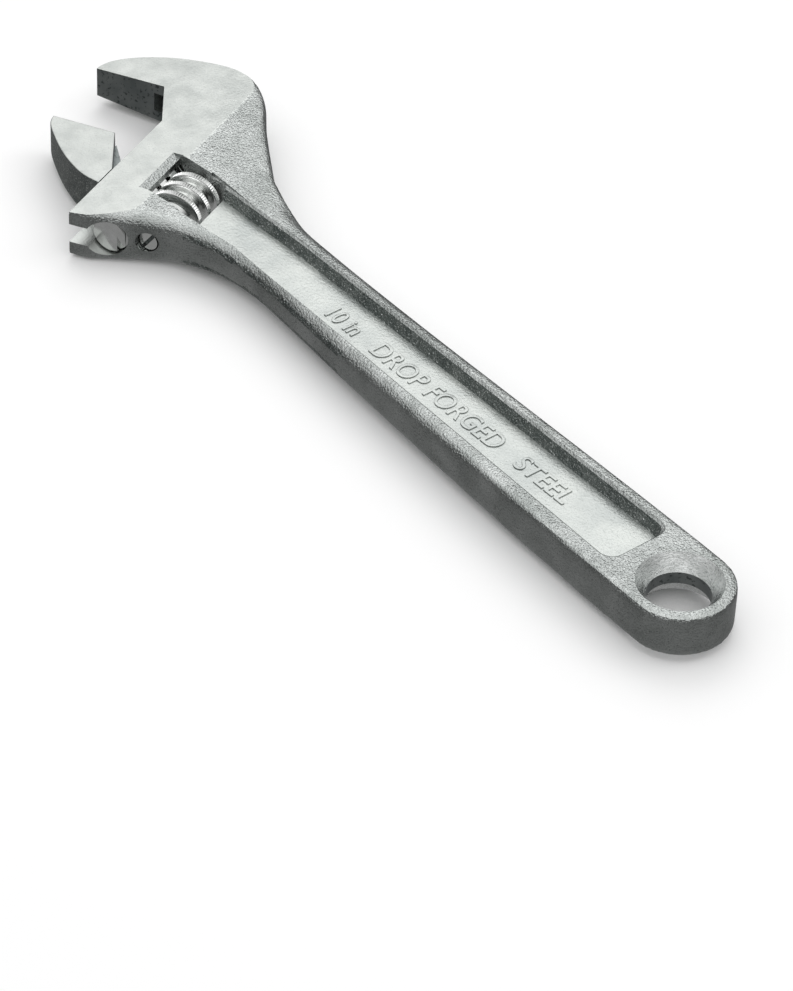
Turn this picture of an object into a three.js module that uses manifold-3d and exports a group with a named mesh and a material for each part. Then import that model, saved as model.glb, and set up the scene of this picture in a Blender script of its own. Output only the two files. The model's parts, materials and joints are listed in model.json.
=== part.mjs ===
import * as THREE from 'three';
import { mergeVertices } from 'three/addons/utils/BufferGeometryUtils.js';
import Module from 'manifold-3d';

// Adjustable wrench, nominal length 254 mm, lying flat. Millimetres, +Z up, +X from the jaws to the
// hang hole. Everything is drawn about the centre of the hang hole, half way through the thickness,
// and the finished group is moved so that the origin is under the middle of its bounding box.

// Head frame: p runs out of the slide face towards the jaw tips, q runs from the movable jaw to the
// fixed jaw, and the fixed jaw's face is the line q = 0, the slide face the line p = 0.
const HEAD_ANGLE = THREE.MathUtils.degToRad(23);
const HEAD_CORNER = new THREE.Vector2(-215.2, 24.6);

// Thickness
const HANDLE_THICKNESS = 11.2;
const HANDLE_EDGE = 2.6;
const JAW_TIP_HALF = 4.2;
const JAW_TIP_P = 27.5;
const RIDGE_HALF = 7.3;
const RIDGE_P = -14;
const NECK_BLEND_P = -42;
const NECK_BLEND_HALF = 5.2;
const HEAD_EDGE = 3;
const TIP_POINTS = 8;

// Handle
const END_RADIUS = 13;
const NECK_X = -148;
const NECK_TOP = 14.6;
const NECK_BOTTOM = -6.6;
const HOLE_RADIUS = 7.5;
const HOLE_RIM_RADIUS = 10.2;
const HOLE_SINK_DEPTH = 4;
const PANEL_DEPTH = 3.6;
const PANEL_DRAFT = 1;
const PANEL_END_X = -15;
const PANEL_TOP = 9.8;
const PANEL_BOTTOM = -7.7;
const PANEL_NECK_TOP = 9.4;
const PANEL_NECK_BOTTOM = -4.9;
const PANEL_START_P = -29.8;
const PANEL_CORNER = 3.5;

// Jaws and slide
const JAW_ROOT_P = 7.5;
const FACE_LENGTH = 19.8;
const THROAT_FOOT_Q = -13.9;
const SLIDE_END_Q = -59;
const JAW_OPENING = 23.6;
const MOVING_ROOT_P = 8;
const MOVING_TIP_P = 26.2;
const RELIEF_FOOT_Q = -14.3;
const MOVING_HEEL_Q = -21;
const GAP = 0.3;

// Slot, rack bar and its bore
const SLOT_HALF = 2.65;
const WEB_HALF = SLOT_HALF - GAP;
const WEB_TOP_Q = -9;
const WEB_GAP = 0.6;
const RACK_P = -9.1;
const BORE_RADIUS = 5.05;
const RACK_RADIUS = BORE_RADIUS - GAP;
const RACK_TOP_Q = -2;
const RACK_LENGTH = 29.3;

// Knurl, pin and spring
const PITCH = 4.4;
const KNURL_P = -18.5;
const KNURL_RADIUS = 7;
const KNURL_ROOT = 4.7;
const KNURL_LENGTH = 13.2;
const KNURL_MID_Q = -35.2;
const CREST_HALF = 0.75;
const CREST_BASE_HALF = 1.15;
const CREST_Q = -31.9;
const PIN_RADIUS = 2;
const PIN_HEAD_RADIUS = 2.5;
const PIN_HEAD_LENGTH = 4;
const PIN_HEAD_Q = -50.6;
const PIN_BLIND_LENGTH = 8;
const PIN_SLOT_WIDTH = 0.9;
const PIN_SLOT_DEPTH = 1.1;
const SPRING_WIRE = 0.35;
const SPRING_RADIUS = 2.85;
const SPRING_POCKET_RADIUS = SPRING_RADIUS + SPRING_WIRE + GAP;
const SPRING_POCKET_DEPTH = 6;
const SPRING_TURNS = 5;

// Knurl window, with ends that lean a little off square
const WINDOW_SLIDE_P = -11.9;
const WINDOW_PANEL_P = -27.3;
const WINDOW_TOP_Q = -25.2;
const WINDOW_BOTTOM_Q = -42.1;
const WINDOW_LEAN = 3.5;
const WINDOW_BEVEL_WIDTH = 2;
const WINDOW_BEVEL_DEPTH = 1;

const wasm = await Module();
wasm.setup();

function toSolid(geometry) {
  const bare = geometry.index ? geometry.toNonIndexed() : geometry.clone();
  bare.deleteAttribute('normal');
  bare.deleteAttribute('uv');
  const merged = mergeVertices(bare, 1e-5);
  return new wasm.Manifold(new wasm.Mesh({
    numProp: 3,
    vertProperties: new Float32Array(merged.attributes.position.array),
    triVerts: new Uint32Array(merged.index.array),
  }));
}

function toGeometry(solid) {
  const mesh = solid.getMesh();
  const geometry = new THREE.BufferGeometry();
  geometry.setAttribute('position', new THREE.BufferAttribute(new Float32Array(mesh.vertProperties), 3));
  geometry.setIndex(new THREE.BufferAttribute(new Uint32Array(mesh.triVerts), 1));
  geometry.computeVertexNormals();
  return geometry;
}

const alongP = new THREE.Vector2(-Math.cos(HEAD_ANGLE), -Math.sin(HEAD_ANGLE));
const alongQ = new THREE.Vector2(-Math.sin(HEAD_ANGLE), Math.cos(HEAD_ANGLE));

// Plan position of a point given in the head frame.
function head(p, q) {
  return HEAD_CORNER.clone().addScaledVector(alongP, p).addScaledVector(alongQ, q);
}

// A lathed or extruded piece whose own axis is +Y or +Z is turned to lie along q.
function axisAlongQ(geometry, p, q) {
  const place = head(p, q);
  geometry.rotateZ(HEAD_ANGLE);
  return geometry.translate(place.x, place.y, 0);
}

function plate(points, half, extra = {}) {
  const shape = new THREE.Shape(points);
  const geometry = new THREE.ExtrudeGeometry(shape, {
    depth: 2 * half,
    bevelEnabled: false,
    ...extra,
  });
  return geometry.translate(0, 0, -half);
}

function headPlate(pairs, half) {
  return plate(pairs.map(([p, q]) => head(p, q)), half);
}

// Outline pieces, from the fixed jaw's tip round the back to the slide's free end
function outerJawCurve() {
  return new THREE.SplineCurve([
    head(JAW_TIP_P, 1.6),
    head(25.4, 5.2),
    head(20, 9.4),
    head(10.5, 13.3),
    head(-1, 15.1),
    head(-8, 14.3),
    head(-13.3, 11.8),
    head(-19, 5.8),
    head(-25.1, -4.3),
    head(-36.2, -20.1),
  ]);
}

function upperHandleCurve() {
  return new THREE.SplineCurve([
    head(-36.2, -20.1),
    new THREE.Vector2(-161, 16.2),
    new THREE.Vector2(NECK_X, NECK_TOP),
    new THREE.Vector2(-100, 13.7),
    new THREE.Vector2(-50, 13.3),
    new THREE.Vector2(0, END_RADIUS),
  ]);
}

function lowerHandleCurve() {
  return new THREE.SplineCurve([
    new THREE.Vector2(0, -END_RADIUS),
    new THREE.Vector2(-50, -11.6),
    new THREE.Vector2(-105, -9.2),
    new THREE.Vector2(-131, -7.5),
    new THREE.Vector2(NECK_X, NECK_BOTTOM),
    new THREE.Vector2(-161, -7.9),
    new THREE.Vector2(-172.7, -12.4),
  ]);
}

function headEndCurve() {
  return new THREE.SplineCurve([
    new THREE.Vector2(-172.7, -12.4),
    head(-16.3, -53.6),
    head(-5.4, -58.3),
  ]);
}

// Half thickness of the forged faces behind the ridge, as a straight taper in p.
function forgedHalf(p) {
  const slope = (RIDGE_HALF - NECK_BLEND_HALF) / (RIDGE_P - NECK_BLEND_P);
  return RIDGE_HALF + slope * (p - RIDGE_P);
}

// Half thickness between the ground faces, which draw together towards the jaw tips.
function groundHalf(p) {
  return JAW_TIP_HALF + ((RIDGE_HALF - JAW_TIP_HALF) * (JAW_TIP_P - p)) / (JAW_TIP_P - RIDGE_P);
}

function groundSlab(fromQ, toQ) {
  const deep = RIDGE_HALF + 3;
  const reach = JAW_TIP_P + 10;
  const side = [
    [reach, groundHalf(reach)],
    [RIDGE_P, RIDGE_HALF],
    [RIDGE_P - 0.01, deep],
    [RIDGE_P - 60, deep],
  ];
  const mirrored = side.slice().reverse().map(([p, z]) => [p, -z]);
  return toSolid(alongQPrism(side.concat(mirrored), fromQ, toQ));
}

// Prism along q whose section is given as p and z pairs.
function alongQPrism(pairs, fromQ, toQ) {
  const points = pairs.map(([p, z]) => new THREE.Vector2(-p, z));
  if (THREE.ShapeUtils.area(points) < 0) {
    points.reverse();
  }
  const geometry = new THREE.ExtrudeGeometry(new THREE.Shape(points), {
    depth: toQ - fromQ,
    bevelEnabled: false,
  });
  geometry.rotateX(Math.PI / 2);
  geometry.rotateZ(HEAD_ANGLE);
  const place = head(0, toQ);
  return geometry.translate(place.x, place.y, 0);
}

// Head forging with rounded edges, thinning evenly towards the handle. The square core fills
// the tip and the inner side, so this outline only needs to pass near them.
function headForging() {
  const points = [
    head(-1, THROAT_FOOT_Q),
    head(JAW_ROOT_P, 2),
    head(JAW_TIP_P - 4, 3),
    ...outerJawCurve().getPoints(30).slice(TIP_POINTS),
    new THREE.Vector2(-164, 12),
    new THREE.Vector2(-157, 6),
    new THREE.Vector2(-157, -1),
    new THREE.Vector2(-163, -6),
    ...headEndCurve().getPoints(8),
    head(-1, SLIDE_END_Q),
  ];
  const tall = 10;
  const thick = (HEAD_EDGE * tall) / RIDGE_HALF;
  const geometry = plate(points.reverse(), tall - thick, {
    bevelEnabled: true,
    bevelThickness: thick,
    bevelSize: HEAD_EDGE,
    bevelOffset: -HEAD_EDGE,
    bevelSegments: 3,
  });
  const place = geometry.attributes.position;
  const spot = new THREE.Vector2();
  for (let i = 0; i < place.count; i += 1) {
    spot.set(place.getX(i), place.getY(i)).sub(HEAD_CORNER);
    place.setZ(i, (place.getZ(i) * forgedHalf(spot.dot(alongP))) / tall);
  }
  return toSolid(geometry);
}

// The square-edged inside of the jaw, throat and slide, with the jaw's tip.
function squareCore() {
  return toSolid(plate([
    head(0, SLIDE_END_Q + 0.6),
    head(0, THROAT_FOOT_Q),
    head(JAW_ROOT_P, 0),
    head(JAW_ROOT_P + FACE_LENGTH, 0),
    ...outerJawCurve().getPoints(30).slice(0, TIP_POINTS + 1),
    head(3, 9),
    head(-8, 6),
    head(-8, SLIDE_END_Q + 6),
  ], RIDGE_HALF + 1));
}

function headBlank() {
  return headForging().add(squareCore()).intersect(groundSlab(-75, 40));
}

function handleBlank() {
  const end = [];
  const steps = 24;
  for (let i = 1; i < steps; i += 1) {
    const angle = Math.PI / 2 - (Math.PI * i) / steps;
    end.push(new THREE.Vector2(END_RADIUS * Math.cos(angle), END_RADIUS * Math.sin(angle)));
  }
  const points = [
    head(-22, -44),
    head(-24, -12),
    ...upperHandleCurve().getPoints(20),
    ...end,
    ...lowerHandleCurve().getPoints(22),
  ];
  return toSolid(plate(points.reverse(), HANDLE_THICKNESS / 2 - HANDLE_EDGE, {
    bevelEnabled: true,
    bevelThickness: HANDLE_EDGE,
    bevelSize: HANDLE_EDGE,
    bevelOffset: -HANDLE_EDGE,
    bevelSegments: 3,
  }));
}

function hangHole() {
  const half = HANDLE_THICKNESS / 2;
  const flare = (HOLE_RIM_RADIUS - HOLE_RADIUS) / HOLE_SINK_DEPTH;
  const out = 1;
  const profile = [
    new THREE.Vector2(0, -half - out),
    new THREE.Vector2(HOLE_RIM_RADIUS + flare * out, -half - out),
    new THREE.Vector2(HOLE_RADIUS, -half + HOLE_SINK_DEPTH),
    new THREE.Vector2(HOLE_RADIUS, half - HOLE_SINK_DEPTH),
    new THREE.Vector2(HOLE_RIM_RADIUS + flare * out, half + out),
    new THREE.Vector2(0, half + out),
  ];
  return toSolid(new THREE.LatheGeometry(profile, 40).rotateX(Math.PI / 2));
}

// q on one of the window's two leaning ends.
function windowEndQ(p, q) {
  return q - (WINDOW_LEAN * (WINDOW_SLIDE_P - p)) / (WINDOW_SLIDE_P - WINDOW_PANEL_P);
}

// The long panel sunk in each face of the handle; it starts at the knurl window.
function panelCut(side) {
  const shape = new THREE.Shape();
  const inWindow = WINDOW_PANEL_P + 5;
  const points = [
    head(inWindow, windowEndQ(inWindow, WINDOW_TOP_Q)),
    head(inWindow, windowEndQ(inWindow, WINDOW_BOTTOM_Q)),
    head(PANEL_START_P, windowEndQ(PANEL_START_P, WINDOW_BOTTOM_Q)),
    new THREE.Vector2(-159, -4.7),
    new THREE.Vector2(NECK_X, PANEL_NECK_BOTTOM),
    new THREE.Vector2(PANEL_END_X - PANEL_CORNER, PANEL_BOTTOM),
  ];
  shape.setFromPoints(points);
  shape.quadraticCurveTo(PANEL_END_X, PANEL_BOTTOM, PANEL_END_X, PANEL_BOTTOM + PANEL_CORNER);
  shape.lineTo(PANEL_END_X, PANEL_TOP - PANEL_CORNER);
  shape.quadraticCurveTo(PANEL_END_X, PANEL_TOP, PANEL_END_X - PANEL_CORNER, PANEL_TOP);
  shape.lineTo(NECK_X, PANEL_NECK_TOP);
  const geometry = new THREE.ExtrudeGeometry(shape, {
    depth: 4,
    curveSegments: 5,
    bevelEnabled: true,
    bevelThickness: PANEL_DEPTH,
    bevelSize: PANEL_DRAFT,
    bevelOffset: -PANEL_DRAFT,
    bevelSegments: 1,
  });
  geometry.translate(0, 0, HANDLE_THICKNESS / 2);
  if (side < 0) {
    geometry.scale(1, 1, -1);
    flipFaces(geometry);
  }
  return toSolid(geometry);
}

function flipFaces(geometry) {
  const place = geometry.attributes.position;
  const spare = new THREE.Vector3();
  const other = new THREE.Vector3();
  for (let i = 0; i < place.count; i += 3) {
    spare.fromBufferAttribute(place, i);
    other.fromBufferAttribute(place, i + 1);
    place.setXYZ(i, other.x, other.y, other.z);
    place.setXYZ(i + 1, spare.x, spare.y, spare.z);
  }
}

function windowCut() {
  const p = [WINDOW_SLIDE_P, WINDOW_PANEL_P];
  return toSolid(headPlate([
    [p[0], WINDOW_TOP_Q],
    [p[1], windowEndQ(p[1], WINDOW_TOP_Q)],
    [p[1], windowEndQ(p[1], WINDOW_BOTTOM_Q)],
    [p[0], WINDOW_BOTTOM_Q],
  ], 12));
}

// The sloping band along the window's slide side, on one face of the head.
function windowBevelCut(side) {
  const outP = WINDOW_SLIDE_P + WINDOW_BEVEL_WIDTH;
  const outZ = groundHalf(outP);
  return toSolid(alongQPrism([
    [outP, side * outZ],
    [WINDOW_SLIDE_P - 1, side * (outZ - 1.5 * WINDOW_BEVEL_DEPTH)],
    [WINDOW_SLIDE_P - 1, side * (outZ + 4)],
    [outP, side * (outZ + 4)],
  ], WINDOW_BOTTOM_Q, WINDOW_TOP_Q));
}

function slotCut() {
  const open = JAW_ROOT_P + 3;
  const rise = (WEB_TOP_Q + WEB_GAP) / (0.2 - JAW_ROOT_P);
  return toSolid(headPlate([
    [open, WEB_TOP_Q + WEB_GAP + rise * (open - 0.2)],
    [0.2, WEB_TOP_Q + WEB_GAP],
    [RACK_P, WEB_TOP_Q + WEB_GAP],
    [RACK_P, SLIDE_END_Q - 5],
    [open, SLIDE_END_Q - 5],
  ], SLOT_HALF));
}

// Cylinder along q from one q to another.
function rod(radius, fromQ, toQ, p, sides = 32) {
  const geometry = new THREE.CylinderGeometry(radius, radius, toQ - fromQ, sides);
  return toSolid(axisAlongQ(geometry, p, (fromQ + toQ) / 2));
}

function boreCut() {
  return rod(BORE_RADIUS, -70, RACK_TOP_Q + 0.7, RACK_P);
}

function pinTopQ() {
  return WINDOW_TOP_Q + PIN_BLIND_LENGTH;
}

function pinHoleCut() {
  const shank = rod(PIN_RADIUS + GAP, -60, pinTopQ() + GAP, KNURL_P, 24);
  const mouth = rod(PIN_HEAD_RADIUS + GAP, -60, PIN_HEAD_Q + PIN_HEAD_LENGTH + GAP, KNURL_P, 24);
  return shank.add(mouth);
}

function bodyGeometry() {
  let body = headBlank().add(handleBlank());
  const cuts = [
    hangHole(), panelCut(1), panelCut(-1), windowCut(), windowBevelCut(1), windowBevelCut(-1),
    slotCut(), boreCut(), pinHoleCut(),
  ];
  for (const cut of cuts) {
    body = body.subtract(cut);
  }
  return toGeometry(body);
}

// One rack tooth gap, as a tall slab with sloping sides that leans with the knurl's thread.
function rackGap(q) {
  const crestP = KNURL_P + KNURL_RADIUS + GAP;
  const outP = RACK_P - RACK_RADIUS - 0.5;
  const slope = (CREST_BASE_HALF - CREST_HALF) / (KNURL_RADIUS - KNURL_ROOT);
  const atCrest = CREST_HALF + GAP;
  const atOut = atCrest + slope * (crestP - outP);
  const shape = new THREE.Shape([
    new THREE.Vector2(-crestP, q - atCrest),
    new THREE.Vector2(-outP, q - atOut),
    new THREE.Vector2(-outP, q + atOut),
    new THREE.Vector2(-crestP, q + atCrest),
  ]);
  const tall = 2 * RACK_RADIUS + 2;
  const geometry = new THREE.ExtrudeGeometry(shape, { depth: tall, bevelEnabled: false });
  geometry.translate(0, 0, -tall / 2);
  const lean = PITCH / (2 * Math.PI * (KNURL_RADIUS - 1));
  const place = geometry.attributes.position;
  for (let i = 0; i < place.count; i += 1) {
    place.setY(i, place.getY(i) + lean * place.getZ(i));
  }
  geometry.rotateZ(HEAD_ANGLE);
  return toSolid(geometry.translate(HEAD_CORNER.x, HEAD_CORNER.y, 0));
}

function rackBar(shift) {
  const topQ = RACK_TOP_Q + shift;
  const bottomQ = topQ - RACK_LENGTH;
  let bar = rod(RACK_RADIUS, bottomQ, topQ, RACK_P);
  const tipP = KNURL_P + KNURL_ROOT + GAP;
  const trim = new THREE.BoxGeometry(6, RACK_LENGTH + 4, 12);
  bar = bar.subtract(toSolid(axisAlongQ(trim, tipP - 3, (topQ + bottomQ) / 2)));
  const first = Math.ceil((bottomQ - CREST_Q - PITCH / 2) / PITCH);
  for (let q = CREST_Q + first * PITCH; q < topQ + PITCH / 2; q += PITCH) {
    bar = bar.subtract(rackGap(q));
  }
  return bar;
}

function movingJawGeometry() {
  const shift = -JAW_OPENING;
  const outer = new THREE.SplineCurve([
    head(MOVING_TIP_P, shift),
    head(25.2, shift - 3.1),
    head(21.6, shift - 7.4),
    head(14.6, shift - 13.9),
    head(6.8, shift - 19),
    head(GAP, shift + MOVING_HEEL_Q),
  ]);
  const points = [
    head(GAP, shift + RELIEF_FOOT_Q),
    head(MOVING_ROOT_P, shift),
    ...outer.getPoints(14),
  ];
  const jaw = toSolid(plate(points, RIDGE_HALF + 1)).intersect(groundSlab(-75, 40));
  const web = toSolid(headPlate([
    [JAW_ROOT_P - 0.3, shift - 0.7],
    [0.2, shift + WEB_TOP_Q],
    [RACK_P + 0.5, shift + WEB_TOP_Q],
    [RACK_P + 0.5, shift + MOVING_HEEL_Q],
    [GAP + 0.5, shift + MOVING_HEEL_Q],
    [8, shift - 12],
  ], WEB_HALF));
  return toGeometry(jaw.add(web).add(rackBar(shift)));
}

// Radius of the knurl's thread at a distance along its axis from the middle of a crest.
function threadRadius(along) {
  const off = Math.abs(along);
  if (off <= CREST_HALF) {
    return KNURL_RADIUS;
  }
  if (off >= CREST_BASE_HALF) {
    return KNURL_ROOT;
  }
  const share = (off - CREST_HALF) / (CREST_BASE_HALF - CREST_HALF);
  return KNURL_RADIUS + (KNURL_ROOT - KNURL_RADIUS) * share;
}

// The knurl is its own cross-section, extruded in layers and twisted one turn per pitch.
function knurlGeometry() {
  const stops = [];
  const ring = (from, to, count) => {
    for (let i = 0; i < count; i += 1) {
      stops.push(from + ((to - from) * i) / count);
    }
  };
  ring(-CREST_HALF, CREST_HALF, 8);
  ring(CREST_HALF, CREST_BASE_HALF, 2);
  ring(CREST_BASE_HALF, PITCH - CREST_BASE_HALF, 10);
  ring(PITCH - CREST_BASE_HALF, PITCH - CREST_HALF, 2);
  const wrapped = stops.map((s) => (s > PITCH / 2 ? s - PITCH : s));
  const shape = new THREE.Shape(wrapped.map((s) => {
    const angle = (2 * Math.PI * s) / PITCH;
    const radius = threadRadius(s);
    return new THREE.Vector2(radius * Math.cos(angle), radius * Math.sin(angle));
  }));
  const layers = Math.round((KNURL_LENGTH / PITCH) * 16);
  const geometry = new THREE.ExtrudeGeometry(shape, {
    depth: KNURL_LENGTH,
    steps: layers,
    bevelEnabled: false,
  });
  geometry.translate(0, 0, -KNURL_LENGTH / 2);
  // The section has its crest on the rack side where the axis distance is that of the crest.
  const start = CREST_Q - KNURL_MID_Q;
  const place = geometry.attributes.position;
  for (let i = 0; i < place.count; i += 1) {
    const turn = (2 * Math.PI * (place.getZ(i) - start)) / PITCH;
    const x = place.getX(i) * Math.cos(turn) - place.getY(i) * Math.sin(turn);
    const y = place.getX(i) * Math.sin(turn) + place.getY(i) * Math.cos(turn);
    place.setXY(i, x, y);
  }
  const middle = head(KNURL_P, KNURL_MID_Q);
  const basis = new THREE.Matrix4().makeBasis(
    new THREE.Vector3(alongP.x, alongP.y, 0),
    new THREE.Vector3(0, 0, 1),
    new THREE.Vector3(alongQ.x, alongQ.y, 0),
  );
  geometry.applyMatrix4(basis.setPosition(middle.x, middle.y, 0));
  const top = KNURL_MID_Q + KNURL_LENGTH / 2;
  const bore = rod(PIN_RADIUS + GAP, -60, 0, KNURL_P, 24);
  const pocket = rod(SPRING_POCKET_RADIUS, top - SPRING_POCKET_DEPTH, 0, KNURL_P, 24);
  return toGeometry(toSolid(geometry).subtract(bore).subtract(pocket));
}

function pinGeometry() {
  const neckQ = PIN_HEAD_Q + PIN_HEAD_LENGTH;
  const headRod = rod(PIN_HEAD_RADIUS, PIN_HEAD_Q, neckQ, KNURL_P, 24);
  const shank = rod(PIN_RADIUS, neckQ - 1, pinTopQ(), KNURL_P, 24);
  const slot = new THREE.BoxGeometry(PIN_SLOT_WIDTH, 2 * PIN_SLOT_DEPTH, 8);
  slot.rotateY(Math.PI / 5);
  return toGeometry(headRod.add(shank).subtract(toSolid(axisAlongQ(slot, KNURL_P, PIN_HEAD_Q))));
}

class CoilCurve extends THREE.Curve {
  constructor(radius, length, turns) {
    super();
    this.radius = radius;
    this.length = length;
    this.turns = turns;
  }

  getPoint(t, target = new THREE.Vector3()) {
    const angle = 2 * Math.PI * this.turns * t;
    return target.set(this.radius * Math.cos(angle), this.length * t, this.radius * Math.sin(angle));
  }
}

function springGeometry() {
  const farSide = KNURL_P - SPRING_RADIUS - SPRING_WIRE;
  const top = windowEndQ(farSide, WINDOW_TOP_Q) - GAP - SPRING_WIRE;
  const bottom = KNURL_MID_Q + KNURL_LENGTH / 2 - SPRING_POCKET_DEPTH + GAP + SPRING_WIRE;
  const section = new THREE.Shape().absarc(0, 0, SPRING_WIRE, 0, 2 * Math.PI);
  const geometry = new THREE.ExtrudeGeometry(section, {
    steps: SPRING_TURNS * 14,
    curveSegments: 8,
    bevelEnabled: false,
    extrudePath: new CoilCurve(SPRING_RADIUS, top - bottom, SPRING_TURNS),
  });
  return toGeometry(toSolid(axisAlongQ(geometry, KNURL_P, bottom)));
}

function piece(name, geometry, color, roughness, metalness) {
  const mesh = new THREE.Mesh(geometry, new THREE.MeshStandardMaterial({ color, roughness, metalness }));
  mesh.name = name;
  return mesh;
}

const group = new THREE.Group();
group.add(piece('handle_and_fixed_jaw', bodyGeometry(), 0xc4cac6, 0.38, 1));
group.add(piece('movable_jaw', movingJawGeometry(), 0xc8cdca, 0.36, 1));
group.add(piece('knurl', knurlGeometry(), 0xd4d8d4, 0.28, 1));
group.add(piece('knurl_pin', pinGeometry(), 0xb4b8b4, 0.4, 1));
group.add(piece('knurl_spring', springGeometry(), 0x9a9e9c, 0.42, 1));

const box = new THREE.Box3().setFromObject(group);
const middle = box.getCenter(new THREE.Vector3());
group.position.set(-middle.x, -middle.y, -box.min.z);
group.updateMatrixWorld(true);

export default group;
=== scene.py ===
# Adjustable wrench, nominal 254 mm, lying on a pale table.
import json
import math
import bpy
from mathutils import Matrix, Vector


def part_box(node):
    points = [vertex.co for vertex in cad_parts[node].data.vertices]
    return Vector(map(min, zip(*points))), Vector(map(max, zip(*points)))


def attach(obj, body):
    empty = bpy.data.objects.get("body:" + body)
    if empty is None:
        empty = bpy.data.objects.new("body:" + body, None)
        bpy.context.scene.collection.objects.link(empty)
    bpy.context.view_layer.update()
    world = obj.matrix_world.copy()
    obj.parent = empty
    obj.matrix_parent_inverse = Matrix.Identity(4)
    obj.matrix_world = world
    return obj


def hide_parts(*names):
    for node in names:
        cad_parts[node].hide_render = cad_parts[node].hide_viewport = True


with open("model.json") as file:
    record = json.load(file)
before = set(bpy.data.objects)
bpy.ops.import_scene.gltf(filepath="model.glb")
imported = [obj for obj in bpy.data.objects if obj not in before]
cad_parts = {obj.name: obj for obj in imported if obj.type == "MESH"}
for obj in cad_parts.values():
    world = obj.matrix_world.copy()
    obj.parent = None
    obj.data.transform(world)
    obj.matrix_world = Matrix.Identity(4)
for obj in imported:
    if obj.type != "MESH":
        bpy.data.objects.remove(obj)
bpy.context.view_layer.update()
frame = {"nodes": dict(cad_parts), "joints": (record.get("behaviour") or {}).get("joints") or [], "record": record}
print("frame loaded")

mm = 0.001
jointByName = {j["name"]: j for j in frame["joints"]}
mountByName = {m["name"]: m for m in frame["record"]["mounts"]}

# Head frame: p out of the slide face towards the jaw tips, q from the movable to the fixed jaw.
alongQ = Vector(jointByName["jaw_slide"]["axis"])
alongP = Vector((-alongQ.y, alongQ.x, 0))
upward = Vector((0, 0, 1))
faceMarkP = 17  # how far out along p the mount sits on the fixed jaw's face
headCorner = Vector(mountByName["fixed_jaw_face"]["pos_m"]) - alongP * faceMarkP * mm
holeCentre = Vector((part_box("handle_and_fixed_jaw")[1].x - 13 * mm,
                     mountByName["handle_underside"]["pos_m"][1], headCorner.z))
knurlCentre = Vector(jointByName["knurl_turn"]["pos_m"])


def handlePoint(x, y, z=0.0):
    return holeCentre + Vector((x, y, z)) * mm


def headPoint(p, q, z=0.0):
    return headCorner + alongP * p * mm + alongQ * q * mm + upward * z * mm


def headPQ(point):
    offset = (point - headCorner) / mm
    return offset.dot(alongP), offset.dot(alongQ)


def clearSelection():
    if bpy.context.object and bpy.context.object.mode != "OBJECT":
        bpy.ops.object.mode_set(mode="OBJECT")
    bpy.ops.object.select_all(action="DESELECT")


def makeActive(piece):
    clearSelection()
    piece.select_set(True)
    bpy.context.view_layer.objects.active = piece


def pickParts(piece, kind, parts, wanted):
    # Leaves only the wanted faces or edges selected, in edit mode.
    makeActive(piece)
    bpy.ops.object.mode_set(mode="EDIT")
    bpy.ops.mesh.select_mode(type=kind)
    bpy.ops.mesh.select_all(action="DESELECT")
    bpy.ops.object.mode_set(mode="OBJECT")
    for part in parts:
        part.select = wanted(part)
    bpy.ops.object.mode_set(mode="EDIT")


def agreeNormals(piece):
    # Turns every face of a closed piece outwards.
    makeActive(piece)
    bpy.ops.object.mode_set(mode="EDIT")
    bpy.ops.mesh.select_mode(type="VERT")
    bpy.ops.mesh.select_all(action="SELECT")
    bpy.ops.mesh.normals_make_consistent(inside=False)
    bpy.ops.object.mode_set(mode="OBJECT")


def outlinePlate(name, points, low, high):
    bpy.ops.object.select_all(action="DESELECT")
    bpy.ops.mesh.primitive_circle_add(vertices=len(points), radius=mm, fill_type="NGON")
    piece = bpy.context.object
    piece.name = name
    for vertex, point in zip(piece.data.vertices, points):
        vertex.co = (point[0], point[1], low)
    bpy.ops.object.mode_set(mode="EDIT")
    bpy.ops.mesh.select_all(action="SELECT")
    bpy.ops.mesh.extrude_region_move(TRANSFORM_OT_translate={"value": (0, 0, high - low)})
    bpy.ops.mesh.select_all(action="SELECT")
    bpy.ops.mesh.normals_make_consistent(inside=False)
    bpy.ops.object.mode_set(mode="OBJECT")
    return piece


def roundRod(name, radius, fromPoint, toPoint, sides=48, endRadius=None):
    # A rod, or a cone if its far end has another radius, between two points.
    bpy.ops.object.select_all(action="DESELECT")
    span = toPoint - fromPoint
    bpy.ops.mesh.primitive_cone_add(
        vertices=sides, radius1=radius, depth=span.length,
        radius2=radius if endRadius is None else endRadius)
    piece = bpy.context.object
    piece.name = name
    turn = Vector((0, 0, 1)).rotation_difference(span.normalized()).to_matrix().to_4x4()
    piece.data.transform(Matrix.Translation((fromPoint + toPoint) / 2) @ turn)
    return piece


def cutAway(piece, cutters):
    for cutter in cutters:
        cut = piece.modifiers.new("cut", "BOOLEAN")
        cut.operation = "DIFFERENCE"
        cut.solver = "MANIFOLD"
        cut.object = cutter
        applyModifiers(piece)
        bpy.data.objects.remove(cutter)


def smoothCurve(points, perSpan):
    # Uniform Catmull-Rom curve through the points.
    result = []
    last = len(points) - 1
    for i in range(last):
        before = points[max(i - 1, 0)]
        start, end = points[i], points[i + 1]
        after = points[min(i + 2, last)]
        for k in range(perSpan):
            t = k / perSpan
            result.append(0.5 * (
                2 * start + (end - before) * t
                + (2 * before - 5 * start + 4 * end - after) * t ** 2
                + (3 * start - before - 3 * end + after) * t ** 3))
    result.append(points[last])
    return result


def applyModifiers(piece):
    makeActive(piece)
    for modifier in list(piece.modifiers):
        bpy.ops.object.modifier_apply(modifier=modifier.name)


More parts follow.
